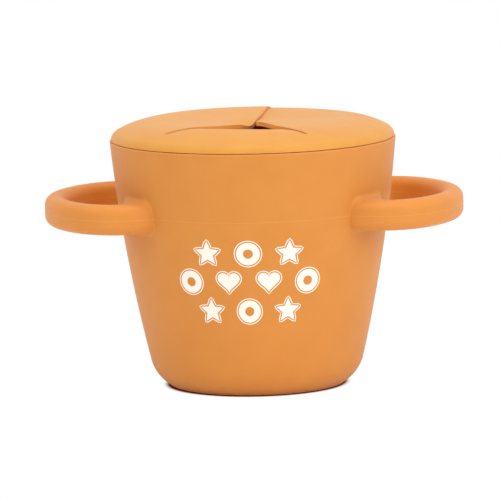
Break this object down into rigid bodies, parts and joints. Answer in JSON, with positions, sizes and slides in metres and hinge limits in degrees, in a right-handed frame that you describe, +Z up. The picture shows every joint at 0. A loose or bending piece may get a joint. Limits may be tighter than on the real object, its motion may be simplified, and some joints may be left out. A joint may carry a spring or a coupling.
{
  "type": "toddler snack container",
  "caption": "Soft silicone snack cup for a toddler, with a loop handle on each side and a plug-in lid whose thin top is slit into flaps that a small hand pushes through.",
  "frame": {"origin": "centre of the flat foot that the cup stands on", "axes": "+Z up along the cup's axis, +X towards the right handle, -Y towards the front that the picture shows"},
  "size_m": [0.1378, 0.094, 0.0879],
  "materials": {
    "cup_silicone": "matte",
    "lid_silicone": "matte"
  },
  "bodies": {
    "cup_body": {"cup": "cup_silicone", "left_handle": "cup_silicone", "right_handle": "cup_silicone"},
    "lid_body": {"lid": "lid_silicone"},
    "front_flap_body": {"front_flap": "lid_silicone"},
    "left_flap_body": {"left_flap": "lid_silicone"},
    "right_flap_body": {"right_flap": "lid_silicone"}
  },
  "joints": [
    {"name": "lid_lift", "type": "slide", "parent": "cup_body", "child": "lid_body", "axis": [0, 0, 1], "range_m": [0, 0.05]},
    {"name": "front_flap_hinge", "type": "hinge", "parent": "lid_body", "child": "front_flap_body", "pos_m": [-0.02217, -0.02578, 0.0879], "axis": [0.9903, -0.1392, 0], "range_deg": [-52, 30], "stiffness_Nm_per_rad": 0.004},
    {"name": "right_flap_hinge", "type": "hinge", "parent": "lid_body", "child": "right_flap_body", "pos_m": [0.01421, -0.03089, 0.0879], "axis": [-0.1453, 0.9894, 0], "range_deg": [-58, 23], "stiffness_Nm_per_rad": 0.004},
    {"name": "left_flap_hinge", "type": "hinge", "parent": "lid_body", "child": "left_flap_body", "pos_m": [0.00473, 0.03367, 0.0879], "axis": [-0.4122, -0.9111, 0], "range_deg": [-55, 27], "stiffness_Nm_per_rad": 0.004}
  ]
}
